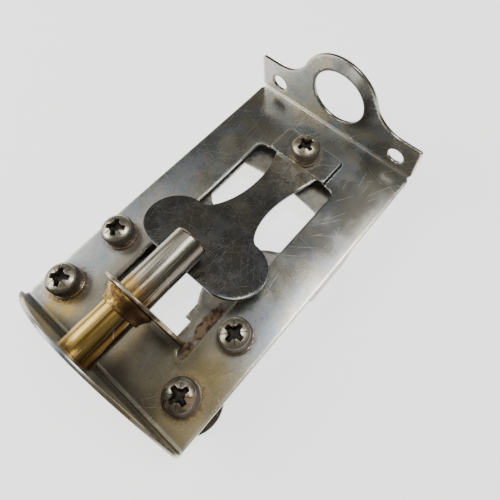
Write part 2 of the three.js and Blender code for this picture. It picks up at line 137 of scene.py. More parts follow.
SCREW_HOLE = 2.15
SHANK_RADIUS = 1.9
THREAD_PITCH = 0.7
THREAD_DEPTH = 0.38
CROWN_RADIUS = 6.6           # radius of the domed tops
LOCK_WASHER_RADIUS = 3.6
NUT_FLATS = 7.0
STACKS = "abcde"
SLEEVED = "bd"               # screws that end in a sleeve nut
TURNS = {"a": 0.58, "b": 0.60, "c": 0.02, "d": -0.22, "e": -0.33}     # radians

QUARTER = math.pi / 2


# ---------------------------------------------------------------- outlines

def arc(cx, cy, radius, start, end, step=0.3):
    """Points of an arc from one angle to another, in degrees, about step apart."""
    a, b = math.radians(start), math.radians(end)
    count = max(3, math.ceil(abs(b - a) * radius / step))
    angles = (a + (b - a) * i / count for i in range(count + 1))
    return [(cx + radius * math.cos(t), cy + radius * math.sin(t)) for t in angles]


def curve(a, b, c, d, count=24):
    """Points of a cubic Bezier curve."""
    points = []
    for i in range(count + 1):
        t = i / count
        w = ((1 - t) ** 3, 3 * t * (1 - t) ** 2, 3 * t * t * (1 - t), t ** 3)
        points.append(tuple(sum(k * p[n] for k, p in zip(w, (a, b, c, d))) for n in (0, 1)))
    return points


def mirrored(half):
    """A closed loop from its half on the +y side, whose ends lie on y = 0 or are joined across."""
    other = [(x, -y) for x, y in reversed(half) if abs(y) > 1e-6]
    return half + other


def divided(loop, step, closed=True):
    """The loop or line with more points, no further than step apart."""
    out = []
    last = len(loop) if closed else len(loop) - 1
    for i in range(last):
        a, b = loop[i], loop[(i + 1) % len(loop)]
        count = max(1, math.ceil(math.dist(a, b) / step - 0.01))
        out += [(a[0] + (b[0] - a[0]) * k / count, a[1] + (b[1] - a[1]) * k / count)
                for k in range(count)]
    return out if closed else out + [loop[-1]]


def area(loop):
    return sum(a[0] * b[1] - b[0] * a[1] for a, b in zip(loop, loop[1:] + loop[:1])) / 2


def inset(loop, amount):
    """The loop moved to its left by amount."""
    moved = []
    for i, here in enumerate(loop):
        a, b, c = Vector(loop[i - 1]), Vector(here), Vector(loop[(i + 1) % len(loop)])
        u, v = (b - a).normalized(), (c - b).normalized()
        left = Vector((-u.y - v.y, u.x + v.x)).normalized()
        reach = amount / max(0.4, left.dot(Vector((-u.y, u.x))))
        moved.append(tuple(b + left * reach))
    return moved


# ---------------------------------------------------------------- meshes

def placed(name, data):
    """A new object in the scene."""
    obj = bpy.data.objects.new(name, data)
    bpy.context.scene.collection.objects.link(obj)
    return obj


def loose_mesh(name, points, faces):
    """An object from points in the drawing frame."""
    mesh = bpy.data.meshes.new(name)
    mesh.from_pydata([(Vector(p) + ORIGIN) * MM for p in points], [], faces)
    return placed(name, mesh)


def dressed(obj, body, material):
    """The object, smooth and in its material, riding on a body unless that is None."""
    mesh = obj.data
    mesh.polygons.foreach_set("use_smooth", [True] * len(mesh.polygons))
    mesh.materials.clear()
    mesh.materials.append(material)
    if body:
        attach(obj, body)
    return obj


def smoothed(obj, edge=0.0, angle=30):
    """Rounded edges of a small radius, if any, and flat faces that shade flat."""
    if edge:
        bevel = obj.modifiers.new("worn edges", "BEVEL")
        bevel.width, bevel.segments, bevel.angle_limit = edge * MM, 2, math.radians(angle)
    flat = obj.modifiers.new("flat faces", "WEIGHTED_NORMAL")
    flat.weight, flat.keep_sharp = 90, True
    return obj


def outward(obj):
    """Faces of a closed mesh turned outward."""
    work = bmesh.new()
    work.from_mesh(obj.data)
    bmesh.ops.remove_doubles(work, verts=work.verts, dist=1e-7)
    bmesh.ops.recalc_face_normals(work, faces=work.faces)
    work.to_mesh(obj.data)
    work.free()
    return obj


def solid(name, node, shape, material, body="chassis", edge=0.0):
    """A closed piece, made of points and faces, that stands for a CAD node."""
    obj = outward(loose_mesh(name, *shape))
    smoothed(dressed(obj, body, material), edge)
    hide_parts(node)


def within(points, loops):
    """Which points lie inside the loops, counting crossings."""
    x, y = points[:, 0], points[:, 1]
    odd = np.zeros(len(points), bool)
    for loop in loops:
        for (x0, y0), (x1, y1) in zip(loop, loop[1:] + loop[:1]):
            if y0 != y1:
                crossed = (y0 > y) != (y1 > y)
                odd ^= crossed & (x < x0 + (x1 - x0) * (y - y0) / (y1 - y0))
    return odd


def ripple(x, y, seed):
    """Small unevenness of a rolled sheet, from handling."""
    broad = noise.noise(Vector((x * 0.055, y * 0.055, seed)))
    fine = noise.noise(Vector((x * 0.22, y * 0.22, seed + 5)))
    return 0.035 * broad + 0.004 * fine


def filled(rims, creases, spacing):
    """Flat triangles inside the rims, with points along the creases.

    Gives the points, the triangles, and where each rim's points are among the points.
    """
    fixed, edges = [], []
    for rim in rims:
        start = len(fixed)
        fixed += rim
        edges += [(start + i, start + (i + 1) % len(rim)) for i in range(len(rim))]
    for crease in creases:
        line = divided(crease, spacing * 0.8, closed=False)
        start = len(fixed)
        fixed += line
        edges += [(start + i, start + i + 1) for i in range(len(line) - 1)]

    tree = KDTree(len(fixed))
    for i, point in enumerate(fixed):
        tree.insert((*point, 0), i)
    tree.balance()
    outside = np.array(rims[0])
    (x0, y0), (x1, y1) = outside.min(0), outside.max(0)
    row = spacing * 0.866
    grid = np.array([(x0 + (i + 0.5 * (j % 2)) * spacing, y0 + j * row)
                     for j in range(int((y1 - y0) / row) + 1)
                     for i in range(int((x1 - x0) / spacing) + 1)])
    grid = [tuple(p) for p in grid[within(grid, rims)]
            if tree.find((*p, 0))[2] > spacing * 0.6]

    flat, _, triangles, sources, _, _ = delaunay_2d_cdt(
        [Vector(p) for p in fixed + grid], edges, [], 0, 1e-6, True)
    places = {source: i for i, origins in enumerate(sources) for source in origins}
    middles = np.array([sum((flat[i] for i in t), Vector((0, 0))) / 3 for t in triangles])
    triangles = [tuple(t) for t, keep in zip(triangles, within(middles, rims)) if keep]
    return flat, triangles, places


def sheet(name, loops, fold, material, body=None, creases=(), spacing=0.75):
    """A sheet piece: flat loops, the first one its outside, filled, thickened and folded.

    fold(x, y, h) places a point of the flat pattern that is h above the middle of the sheet.
    """
    loops = [divided(loop, spacing * 0.7) for loop in loops]
    loops = [loop if (area(loop) > 0) == (i == 0) else loop[::-1] for i, loop in enumerate(loops)]
    rounding = [(EDGE * (1 - math.sin(t)), HALF - EDGE * (1 - math.cos(t)))
                for t in (0, QUARTER / 2, QUARTER)]
    rings = rounding + [(inward, -height) for inward, height in reversed(rounding)]
    rims = [inset(loop, EDGE) for loop in loops]
    flat, triangles, places = filled(rims, creases, spacing)

    points = [(p.x, p.y, HALF) for p in flat] + [(p.x, p.y, -HALF) for p in flat]
    faces = triangles + [tuple(i + len(flat) for i in reversed(t)) for t in triangles]
    first = 0
    for loop in loops:
        count = len(loop)
        rows = [[places[first + i] for i in range(count)]]
        for inward, height in rings[1:-1]:
            start = len(points)
            points += [(x, y, height) for x, y in inset(loop, inward)]
            rows.append([start + i for i in range(count)])
        rows.append([places[first + i] + len(flat) for i in range(count)])
        for upper, lower in zip(rows, rows[1:]):
            faces += [(upper[i], lower[i], lower[(i + 1) % count], upper[(i + 1) % count])
                      for i in range(count)]
        first += count
    obj = loose_mesh(name, [fold(*p) for p in points], faces)
    obj.data.validate()
    return smoothed(dressed(obj, body, material))


def bend(distance, radius, angle, h):
    """Along and up of a point, where a sheet bends up over an arc from distance 0."""
    turn = min(max(distance / radius, 0), angle)
    rest = distance - turn * radius
    along = radius * math.sin(turn) + rest * math.cos(turn) - h * math.sin(turn)
    up = radius * (1 - math.cos(turn)) + rest * math.sin(turn) + h * math.cos(turn)
    return along, up


def lathe(profile, centre, along="z", sides=64, closed=False):
    """Points and faces of a (radius, height) profile turned about a line through centre."""
    points, faces, rows = [], [], []
    for radius, height in profile:
        count = 1 if radius < 1e-6 else sides
        rows.append(list(range(len(points), len(points) + count)))
        for i in range(count):
            t = 2 * math.pi * i / sides
            side, up = radius * math.cos(t), radius * math.sin(t)
            local = (side, up, height) if along == "z" else (height, side, up)
            points.append(tuple(Vector(local) + Vector(centre)))
    pairs = list(zip(rows, rows[1:])) + ([(rows[-1], rows[0])] if closed else [])
    for a, b in pairs:
        for i in range(sides):
            j = (i + 1) % sides
            corners = [a[i % len(a)], a[j % len(a)], b[j % len(b)], b[i % len(b)]]
            corners = list(dict.fromkeys(corners))
            if len(corners) > 2:
                faces.append(tuple(corners))
    return points, faces


def eased(profile, radius, closed=False, steps=3):
    """A profile with its corners rounded."""
    out = [] if closed else [profile[0]]
    spots = range(len(profile)) if closed else range(1, len(profile) - 1)
    for i in spots:
        a, b, c = (Vector(profile[j % len(profile)]) for j in (i - 1, i, i + 1))
        cut = min(radius, (a - b).length * 0.45, (c - b).length * 0.45)
        p, q = b + (a - b).normalized() * cut, b + (c - b).normalized() * cut
        for k in range(steps + 1):
            t = k / steps
            out.append(tuple(p * (1 - t) ** 2 + b * 2 * t * (1 - t) + q * t * t))
    return out if closed else out + [profile[-1]]


# ---------------------------------------------------------------- body

FRONT_ARC = FRONT_BEND * (QUARTER + FRONT_LEAN)
EYE_ARC = EYE_BEND * QUARTER
TONGUE_ARC = TONGUE_BEND * QUARTER


def flat_on_eye(z):
    """Place on the flat pattern of a height on the eye flange."""
    return FLOOR_END + EYE_ARC + z + HALF - EYE_BEND


def flat_on_front(z):
    """Place on the flat pattern of a height on the leaning front flange."""
    foot = -HALF + FRONT_BEND * (1 + math.sin(FRONT_LEAN))
    return -FRONT_ARC - (z - foot) / math.cos(FRONT_LEAN)


def flat_on_tongue(z):
    """Place on the flat pattern of a height on the tongue."""
    return TONGUE_BEND_X + TONGUE_ARC + z + HALF - TONGUE_BEND


def eye_flange_half():
    """Half outline of the eye flange, from its top to its corner at the bend."""
    fillet_z = FLANGE_LOW + LUG_FILLET
    rise = fillet_z - LUG_Z
    fillet_y = math.sqrt((LUG_RADIUS + LUG_FILLET) ** 2 - rise ** 2)
    lean = math.degrees(math.atan2(rise, fillet_y))
    corner = 0.8
    points = arc(0, LUG_Z, LUG_RADIUS, 90, lean) \
        + arc(fillet_y, fillet_z, LUG_FILLET, 180 + lean, 270)[1:] \
        + arc(HALF_WIDTH - corner, FLANGE_LOW - corner, corner, 90, 0)
    half = [(flat_on_eye(z), y) for y, z in points]
    notch = [(1.6, 0), (0.3, 0.8), (-0.8, 0)]
    return half + [(FLOOR_END + s, HALF_WIDTH - depth) for s, depth in notch]


def front_flange_half():
    """Half outline of the front flange, from its side corner to the top of the arch."""
    def height(y):
        u = y / HALF_WIDTH
        return ARCH[0] - ARCH[1] * u ** 2 + ARCH[2] * u ** 4
    steps = 60
    reach = HALF_WIDTH * 0.95
    top = [(reach * (1 - i / steps), height(reach * (1 - i / steps))) for i in range(steps + 1)]
    side = HALF_WIDTH, height(HALF_WIDTH)
    low = (side[0], side[1] - 1.2)
    corner = curve(low, side, side, top[0], 8)[:-1]
    return [(flat_on_front(z), y) for y, z in corner + top]


def window_half():
    """Half outline of the window, round the tongue that stands in it."""
    corner = TONGUE_HALF_WIDTH - TONGUE_FOOT
    rise = TONGUE_TOP - TONGUE_SHOULDER
    steps = 60
    oval = [(flat_on_tongue(TONGUE_SHOULDER + rise * math.sin(t)), TONGUE_HALF_WIDTH * math.cos(t))
            for t in (QUARTER * i / steps for i in range(steps))]
    oval.append((flat_on_tongue(TONGUE_TOP), 0))
    foot = flat_on_tongue(1.0)
    relief = RELIEF_START + RELIEF_CORNER
    return [(WINDOW_END, 0)] \
        + arc(WINDOW_END - WINDOW_CORNER, WINDOW_HALF_WIDTH - WINDOW_CORNER, WINDOW_CORNER, 0, 90) \
        + arc(relief, WINDOW_HALF_WIDTH - RELIEF_CORNER, RELIEF_CORNER, 90, 180) \
        + arc(relief, TONGUE_FOOT + RELIEF_CORNER, RELIEF_CORNER, 180, 270) \
        + arc(foot, TONGUE_FOOT + corner, corner, 270, 360) + oval


def hole(x, y, radius):
    return arc(x, y, radius, 0, 360)[:-1]


def pad_distance(x, y):
    """Distance outside the raised pad's top."""
    dx = x - (PAD_END - PAD_CORNER)
    dy = abs(y) - (PAD_HALF_WIDTH - PAD_CORNER)
    if dx > 0 and dy > 0:
        return math.hypot(dx, dy) - PAD_CORNER
    return max(dx, dy) - PAD_CORNER


def pad_rise(x, y):
    """Height of the raised pad over the body sheet; the window cuts its near end."""
    if x < WINDOW_END - 1:
        return 0
    t = min(max(pad_distance(x, y) / PAD_FLANK, 0), 1)
    return PAD_HEIGHT * (1 - t * t * (3 - 2 * t))


def pad_creases():
    """Lines round the pad that keep its pressed flanks even."""
    lines = []
    for share in (-0.15, 0.0, 0.15, 0.3, 0.5, 0.7, 0.85, 1.0, 1.15):
        out = share * PAD_FLANK
        radius = PAD_CORNER + out
        half = [(WINDOW_END + 0.3, PAD_HALF_WIDTH + out)] \
            + arc(PAD_END - PAD_CORNER, PAD_HALF_WIDTH - PAD_CORNER, radius, 90, 0)
        lines.append(half + [(x, -y) for x, y in reversed(half)])
    return lines


def bend_creases(start, length, half_width, count):
    """Lines across a sheet that keep its bend even."""
    places = (start + length * i / count for i in range(count + 1))
    return [[(x, -half_width), (x, half_width)] for x in places]


def edge_fall(x, y):
    """The long edges fall slightly, as sheared ones do."""
    out = max(0, abs(y) - HALF_WIDTH + 5.5) / 5.5
    ends = min(1, max(0, (x - 1) / 5), max(0, (FLOOR_END - 1 - x) / 5))
    return 0.17 * out * out * max(0, ends)


def body_fold(x, y, h):
    """Where a point of the body's flat pattern lies once the tongue and flanges are bent up."""
    h += ripple(x, y, 1) - edge_fall(x, y)
    on_tongue = abs(y) < (TONGUE_HALF_WIDTH + WINDOW_HALF_WIDTH) / 2
    if on_tongue and TONGUE_BEND_X < x < flat_on_tongue(TONGUE_TOP) + 0.5:
        run, up = bend(x - TONGUE_BEND_X, TONGUE_BEND, QUARTER, h)
        return TONGUE_BEND_X + run, y, up - HALF
    if x < 0:
        run, up = bend(-x, FRONT_BEND, QUARTER + FRONT_LEAN, h)
        return -run, y, up - HALF
    if x > FLOOR_END:
        run, up = bend(x - FLOOR_END, EYE_BEND, QUARTER, h)
        return FLOOR_END + run, y, up - HALF
    return x, y, h - HALF + pad_rise(x, y)


def stack_place(letter):
    """Where a screw stands, seen from above."""
    low, high = box_of(f"screw_{letter}")
    return (low.x + high.x) / 2, (low.y + high.y) / 2


def make_body(material):
    eye, front = eye_flange_half(), front_flange_half()
    holes = [mirrored(window_half()),
             hole(flat_on_front(BOLT_Z), 0, BORE_RADIUS),
             hole(flat_on_tongue(BOLT_Z), 0, BORE_RADIUS),
             hole(flat_on_eye(EYE_Z), 0, EYE_RADIUS)]
    holes += [hole(flat_on_eye(PIN_HOLE[1]), side * PIN_HOLE[0], PIN_HOLE[2]) for side in (-1, 1)]
    holes += [hole(*stack_place(letter), SCREW_HOLE) for letter in STACKS]
    creases = pad_creases()
    creases += bend_creases(-FRONT_ARC, FRONT_ARC, HALF_WIDTH - 0.5, 7)
    creases += bend_creases(FLOOR_END, EYE_ARC, HALF_WIDTH - 1.4, 6)
    creases += bend_creases(TONGUE_BEND_X, TONGUE_ARC, TONGUE_FOOT - 0.5, 7)
    body = sheet("body_sheet", [mirrored(eye + front)] + holes, body_fold, material,
                 "chassis", creases)
    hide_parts("base_plate")


# ---------------------------------------------------------------- mounting plate

def plate_half():
    """Half outline of the flat plate, with its ear spread out."""
    low, high = plate_low.x, plate_high.x
    edge, corner = PLATE_HALF_WIDTH, PLATE_CORNER
    tip = EAR_BEND_Y + EAR_BEND * QUARTER + PLATE_TOP - HALF - EAR_BEND - plate_low.z
    return arc(high - corner, edge - corner, corner, 0, 90) \
        + [(EAR_END, edge)] \
        + arc(EAR_END - corner, tip - corner, corner, 0, 90) \
        + arc(EAR_START + corner, tip - corner, corner, 90, 180) \
        + [(EAR_START, edge)] \
        + arc(low + corner, edge - corner, corner, 90, 180)


def plate_opening_half():
    """Half outline of the opening: a bowed far end, a scooped waist and a stepped near end."""
    far_radius, far_x, far_half = 69.0, 60.2, 12.6
    spread = math.degrees(math.asin(far_half / far_radius))
    return arc(far_x - far_radius, 0, far_radius, 0, spread) \
        + [(46.2, far_half)] \
        + arc(31.5, 17, 14.5, -24, -125.6) \
        + [(19.1, 5.3), (19.1, 7), (14.6, 7)]


def plate_fold(x, y, h):
    h += ripple(x, y, 20)
    middle = PLATE_TOP - HALF
    if EAR_START - 0.01 <= x <= EAR_END + 0.01 and abs(y) > EAR_BEND_Y:
        run, down = bend(abs(y) - EAR_BEND_Y, EAR_BEND, QUARTER, -h)
        return x, math.copysign(EAR_BEND_Y + run, y), middle - down
    return x, y, middle + h


def make_plate(material):
    loops = [mirrored(plate_half()), mirrored(plate_opening_half())]
    loops += [hole(*stack_place(letter), SCREW_HOLE) for letter in STACKS]
    steps = 6
    lines = [EAR_BEND_Y + 0.15 + EAR_BEND * QUARTER * i / steps for i in range(steps + 1)]
    creases = [[(EAR_START + 0.5, side * y), (EAR_END - 0.5, side * y)] for side in (-1, 1) for y in lines]
    plate = sheet("lower_plate", loops, plate_fold, material, "chassis", creases, 0.9)
    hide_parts("mounting_plate")


# ---------------------------------------------------------------- leaf

def leaf_flare(x):
    """Half width of the leaf between its neck and its root."""
    return LEAF_NECK[1] + LEAF_FLARE - math.sqrt(LEAF_FLARE ** 2 - (x - LEAF_NECK[0]) ** 2)


def leaf_half():
    """Half outline of the flat leaf, from its root to its lobe's tip."""
    root, wide = LEAF_ROOT_END, LEAF_ROOT_HALF_WIDTH
    lobe_x, lobe_y, lobe_radius = LEAF_LOBE
    flare_end = WINDOW_END + 0.5
    steps = 24
    places = (flare_end + (LEAF_NECK[0] - flare_end) * i / steps for i in range(steps + 1))
    flare = [(x, leaf_flare(x)) for x in places]
    side = lobe_x + lobe_radius
    waist = curve(LEAF_NECK, (LEAF_NECK[0] - 6.6, LEAF_NECK[1]), (side, lobe_y - 2), (side, lobe_y))
    return arc(root - 1, wide - 1, 1, 0, 90) + [(WINDOW_END + 1.3, wide)] + flare \
        + waist[1:] + arc(lobe_x, lobe_y, lobe_radius, 0, 180)[1:]


def leaf_fold(x, y, h):
    h += ripple(x, y, 40)
    run, up = bend(LEAF_ROOT_BEND - x, LEAF_BEND, LEAF_ANGLE, h)
    return LEAF_ROOT_BEND - run, y, LEAF_TOP - HALF + up


def make_leaf(material):
    loops = [mirrored(leaf_half()), hole(*stack_place("e"), SCREW_HOLE)]
    length = LEAF_BEND * LEAF_ANGLE
    creases = bend_creases(LEAF_ROOT_BEND - length, length, LEAF_NECK[1] - 0.25, 3)
    leaf = sheet("spring_leaf", loops, leaf_fold, material, None, creases, 0.7)
    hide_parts("leaf_root", "toggle_leaf")
    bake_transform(leaf)


# ---------------------------------------------------------------- bolt and collar

def make_bolt(material):
    start, end, radius = bolt_low.x, bolt_high.x, BOLT_RADIUS
    lines = 90
    side = [(radius, start + 0.4 + (end - start - 0.8) * i / lines) for i in range(lines + 1)]
    profile = [(0, start), (radius - 1.2, start), (radius - 0.4, start)] + side \
        + [(radius - 0.4, end), (radius - 1.2, end), (0, end)]
    points, faces = lathe(profile, (0, 0, BOLT_Z), "x", 96)
    worn = []
    for x, y, z in points:
        dent = 0.03 * noise.noise(Vector((x * 0.25, y * 0.25, z * 0.25)))
        shrink = 1 - max(dent, 0) / radius
        worn.append((x, y * shrink, BOLT_Z + (z - BOLT_Z) * shrink))
    solid("sliding_bolt", "bolt", (worn, faces), material, "bolt", EDGE)


def make_collar(material):
    low, high = box_of("stop_collar")
    flare = (high.z - low.z) / 2
    waist = flare - 1.1
    inner = BOLT_RADIUS + 0.05
    profile = [(inner, low.x), (waist, low.x), (waist, low.x + 0.8), (waist + 0.35, low.x + 1.5),
               (flare, high.x - 0.7), (flare, high.x), (inner, high.x)]
    shape = lathe(eased(profile, 0.3, closed=True), (0, 0, BOLT_Z), "x", 96, closed=True)
    solid("flared_collar", "stop_collar", shape, material, "bolt")


# ---------------------------------------------------------------- fasteners

def round_box(node):
    """Centre from above, lowest and highest heights, and radius of a round CAD node."""
    low, high = box_of(node)
    return (low.x + high.x) / 2, (low.y + high.y) / 2, low.z, high.z, (high.x - low.x) / 2


def tool_mesh(name, points, faces):
    return outward(loose_mesh(name, points, faces))


def combined(obj, tool, operation="DIFFERENCE"):
    """obj cut by tool, or cut down to it, as a plain mesh; tool is removed."""
    modifier = obj.modifiers.new("cut", "BOOLEAN")
    modifier.operation, modifier.solver, modifier.object = operation, "MANIFOLD", tool
    bpy.context.view_layer.update()
    graph = bpy.context.evaluated_depsgraph_get()
    mesh = bpy.data.meshes.new_from_object(obj.evaluated_get(graph))
    obj.modifiers.clear()
    obj.data = mesh
    bpy.data.objects.remove(tool)
    return obj


def loft(outlines):
    """Points and faces of a solid through outlines of equal length, lowest first."""
    count = len(outlines[0])
    points = [p for outline in outlines for p in outline]
    faces = [tuple(reversed(range(count)))]
    for k in range(len(outlines) - 1):
        a, b = k * count, (k + 1) * count
        faces += [(a + i, a + (i + 1) % count, b + (i + 1) % count, b + i) for i in range(count)]
    faces.append(tuple(range((len(outlines) - 1) * count, len(outlines) * count)))
    return points, faces


def recess_outline(x, y, z, reach, width, rib, turn):
    """Cross with ribbed inner corners, seen from above."""
    quarter = [(reach, -width), (reach + 0.08, 0), (reach, width),
               (rib + 0.12, width + 0.05), (rib * 0.86, rib * 0.86), (width + 0.05, rib + 0.12)]
    out = []
    for k in range(4):
        t = turn + k * QUARTER
        c, s = math.cos(t), math.sin(t)
        out += [(x + c * a - s * b, y + s * a + c * b, z) for a, b in quarter]
    return out


def fall(r):
    """How far a screw's domed top lies below its middle."""
    return CROWN_RADIUS - math.sqrt(CROWN_RADIUS ** 2 - r * r)


def screw_blank(letter):
    """Points and faces of a threaded screw before its recess is cut."""
    x, y, low, high, radius = round_box(f"screw_{letter}")
    seat = round_box(f"lock_washer_{letter}")[3] + 0.05
    shoulder = radius - 0.5
    crown = curve((radius, high - 1.8), (radius, high - 1.4), (radius - 0.25, high - 1.2),
                  (shoulder, high - fall(shoulder)), 7)
    crown += [(r, high - fall(r)) for r in (shoulder * (1 - i / 12) for i in range(1, 12))]
    count = int((seat - low) / THREAD_PITCH * 6)
    thread = [(SHANK_RADIUS, low + (seat - low) * i / count) for i in range(1, count + 1)]
    points, faces = lathe([(0, low), (SHANK_RADIUS - 0.35, low)] + thread
                          + [(radius - 0.15, seat), (radius, seat + 0.15)]
                          + crown + [(0, high)], (x, y, 0), "z", 48)
    threaded = []
    for px, py, pz in points:
        dx, dy = px - x, py - y
        r = math.hypot(dx, dy)
        if low + 0.1 < pz < seat - 0.3 and r > 1:
            phase = (pz / THREAD_PITCH - math.atan2(dy, dx) / (2 * math.pi)) % 1
            scale = (SHANK_RADIUS - THREAD_DEPTH * abs(2 * phase - 1)) / r
            px, py = x + dx * scale, y + dy * scale
        threaded.append((px, py, pz))
    return threaded, faces


def recess_tool(x, y, high, turn):
    """A solid that cuts a screw's recess, from levels of height, reach, half width and rib."""
    levels = [(high - 1.9, 1.0, 0.28, 0.55), (high - 1.7, 1.5, 0.42, 0.75),
              (high - 0.2, 2.38, 0.60, 1.12), (high + 0.6, 2.55, 0.66, 1.2)]
    return tool_mesh("recess", *loft([recess_outline(x, y, z, reach, width, rib, turn)
                                      for z, reach, width, rib in levels]))


def mark_tool(x, y, high, turn):
    """A wedge that cuts one radial mark into a screw's crown."""
    c, s = math.cos(turn), math.sin(turn)
    near, far = 1.35, 2.75

    def corner(along, across, z):
        return x + c * along - s * across, y + s * along + c * across, high + z
    bottom = [corner(near, 0, -0.22), corner(far, 0, -0.52), corner(far, 0.01, -0.52),
              corner(near, 0.01, -0.22)]
    top = [corner(near, -0.14, 0.3), corner(far, -0.12, 0.3), corner(far, 0.13, 0.3),
           corner(near, 0.15, 0.3)]
    return tool_mesh("mark", *loft([bottom, top]))


def make_screw(letter, material):
    node = f"screw_{letter}"
    x, y, _, high, _ = round_box(node)
    screw = tool_mesh(f"pan_screw_{letter}", *screw_blank(letter))
    combined(screw, recess_tool(x, y, high, TURNS[letter]))
    for k in range(4):
        combined(screw, mark_tool(x, y, high, TURNS[letter] + QUARTER * (k + 0.5)))
    smoothed(dressed(screw, "chassis", material), 0.06, 32)
    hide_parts(node)


def make_ring(name, node, material):
    x, y, low, high, radius = round_box(node)
    profile = [(SCREW_HOLE, low), (radius, low), (radius, high), (SCREW_HOLE, high)]
    shape = lathe(eased(profile, EDGE, closed=True), (x, y, 0), "z", 64, closed=True)
    solid(name, node, shape, material)


def make_lock_washer(letter, material):
    """A split ring whose cut ends are slanted."""
    node = f"lock_washer_{letter}"
    x, y, low, high, _ = round_box(node)
    radius, inner, gap = LOCK_WASHER_RADIUS, SCREW_HOLE, 0.7
    profile = eased([(inner, low), (radius, low), (radius, high), (inner, high)], 0.14, closed=True)
    half_gap = gap / 2 / radius + 0.06
    start = TURNS[letter] - math.radians(40) + half_gap
    points, faces, steps = [], [], 72
    count = len(profile)
    for i in range(steps + 1):
        t = start + (2 * math.pi - 2 * half_gap) * i / steps
        for r, z in profile:
            slant = 0.16 * ((z - low) / (high - low) - 0.5)
            points.append((x + r * math.cos(t + slant), y + r * math.sin(t + slant), z))
    for i in range(steps):
        a, b = i * count, (i + 1) * count
        faces += [(a + k, a + (k + 1) % count, b + (k + 1) % count, b + k) for k in range(count)]
    faces += [tuple(range(count)), tuple(reversed(range(steps * count, (steps + 1) * count)))]
    solid(f"split_washer_{letter}", node, (points, faces), material)


def make_nut(letter, material):
    node = f"nut_{letter}"
    x, y, low, high, _ = round_box(node)
    corner = NUT_FLATS / math.sqrt(3)
    outline = [(x + corner * math.cos(math.pi / 3 * k), y + corner * math.sin(math.pi / 3 * k))
               for k in range(6)]
    nut = tool_mesh(f"hex_nut_{letter}", *loft([[(*p, z) for p in outline] for z in (low, high)]))
    flat_radius = NUT_FLATS / 2 - 0.1
    rise = (corner - flat_radius) * math.tan(math.radians(30))
    chamfers = lathe([(0, low - 0.01), (flat_radius, low - 0.01), (corner + 0.05, low + rise),
                      (corner + 0.05, high - rise), (flat_radius, high + 0.01), (0, high + 0.01)],
                     (x, y, 0), "z", 64)
    combined(nut, tool_mesh("chamfers", *chamfers), "INTERSECT")
    bore = lathe([(0, low - 1), (2.5, low - 1), (2.5, low), (2.0, low + 0.5), (2.0, high - 0.5),
                  (2.5, high), (2.5, high + 1), (0, high + 1)], (x, y, 0), "z", 48)
    combined(nut, tool_mesh("bore", *bore))
    smoothed(dressed(nut, "chassis", material), 0.07, 25)
    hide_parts(node)


def make_sleeve_nut(letter, material):
    node = f"sleeve_nut_{letter}"
    x, y, low, high, radius = round_box(node)
    head, sleeve, bore = 1.6, 3.0, 2.0
    profile = [(0, low + 0.25), (1.0, low + 0.2), (2.2, low), (radius - 0.35, low), (radius, low + 0.35),
               (radius, low + head), (sleeve, low + head), (sleeve, high), (bore, high),
               (bore, low + 1.0), (0, low + 1.0)]
    shape = lathe(eased(profile, 0.12), (x, y, 0), "z", 72)
    solid(f"round_nut_{letter}", node, shape, material)


def make_stack(letter, screw_steel, steels):
    """A screw and everything on it, from its lock washer down."""
    make_screw(letter, screw_steel)
    make_lock_washer(letter, steels["washer"])
    make_ring(f"plain_washer_{letter}", f"flat_washer_{letter}", steels["washer"])
    make_ring(f"spacer_ring_{letter}", f"spacer_{letter}", steels["spacer"])
    if letter in SLEEVED:
        make_sleeve_nut(letter, steels["sleeve"])
    else:
        make_ring(f"lower_washer_{letter}", f"nut_washer_{letter}", steels["washer"])
        make_nut(letter, steels["nut"])


# ---------------------------------------------------------------- materials

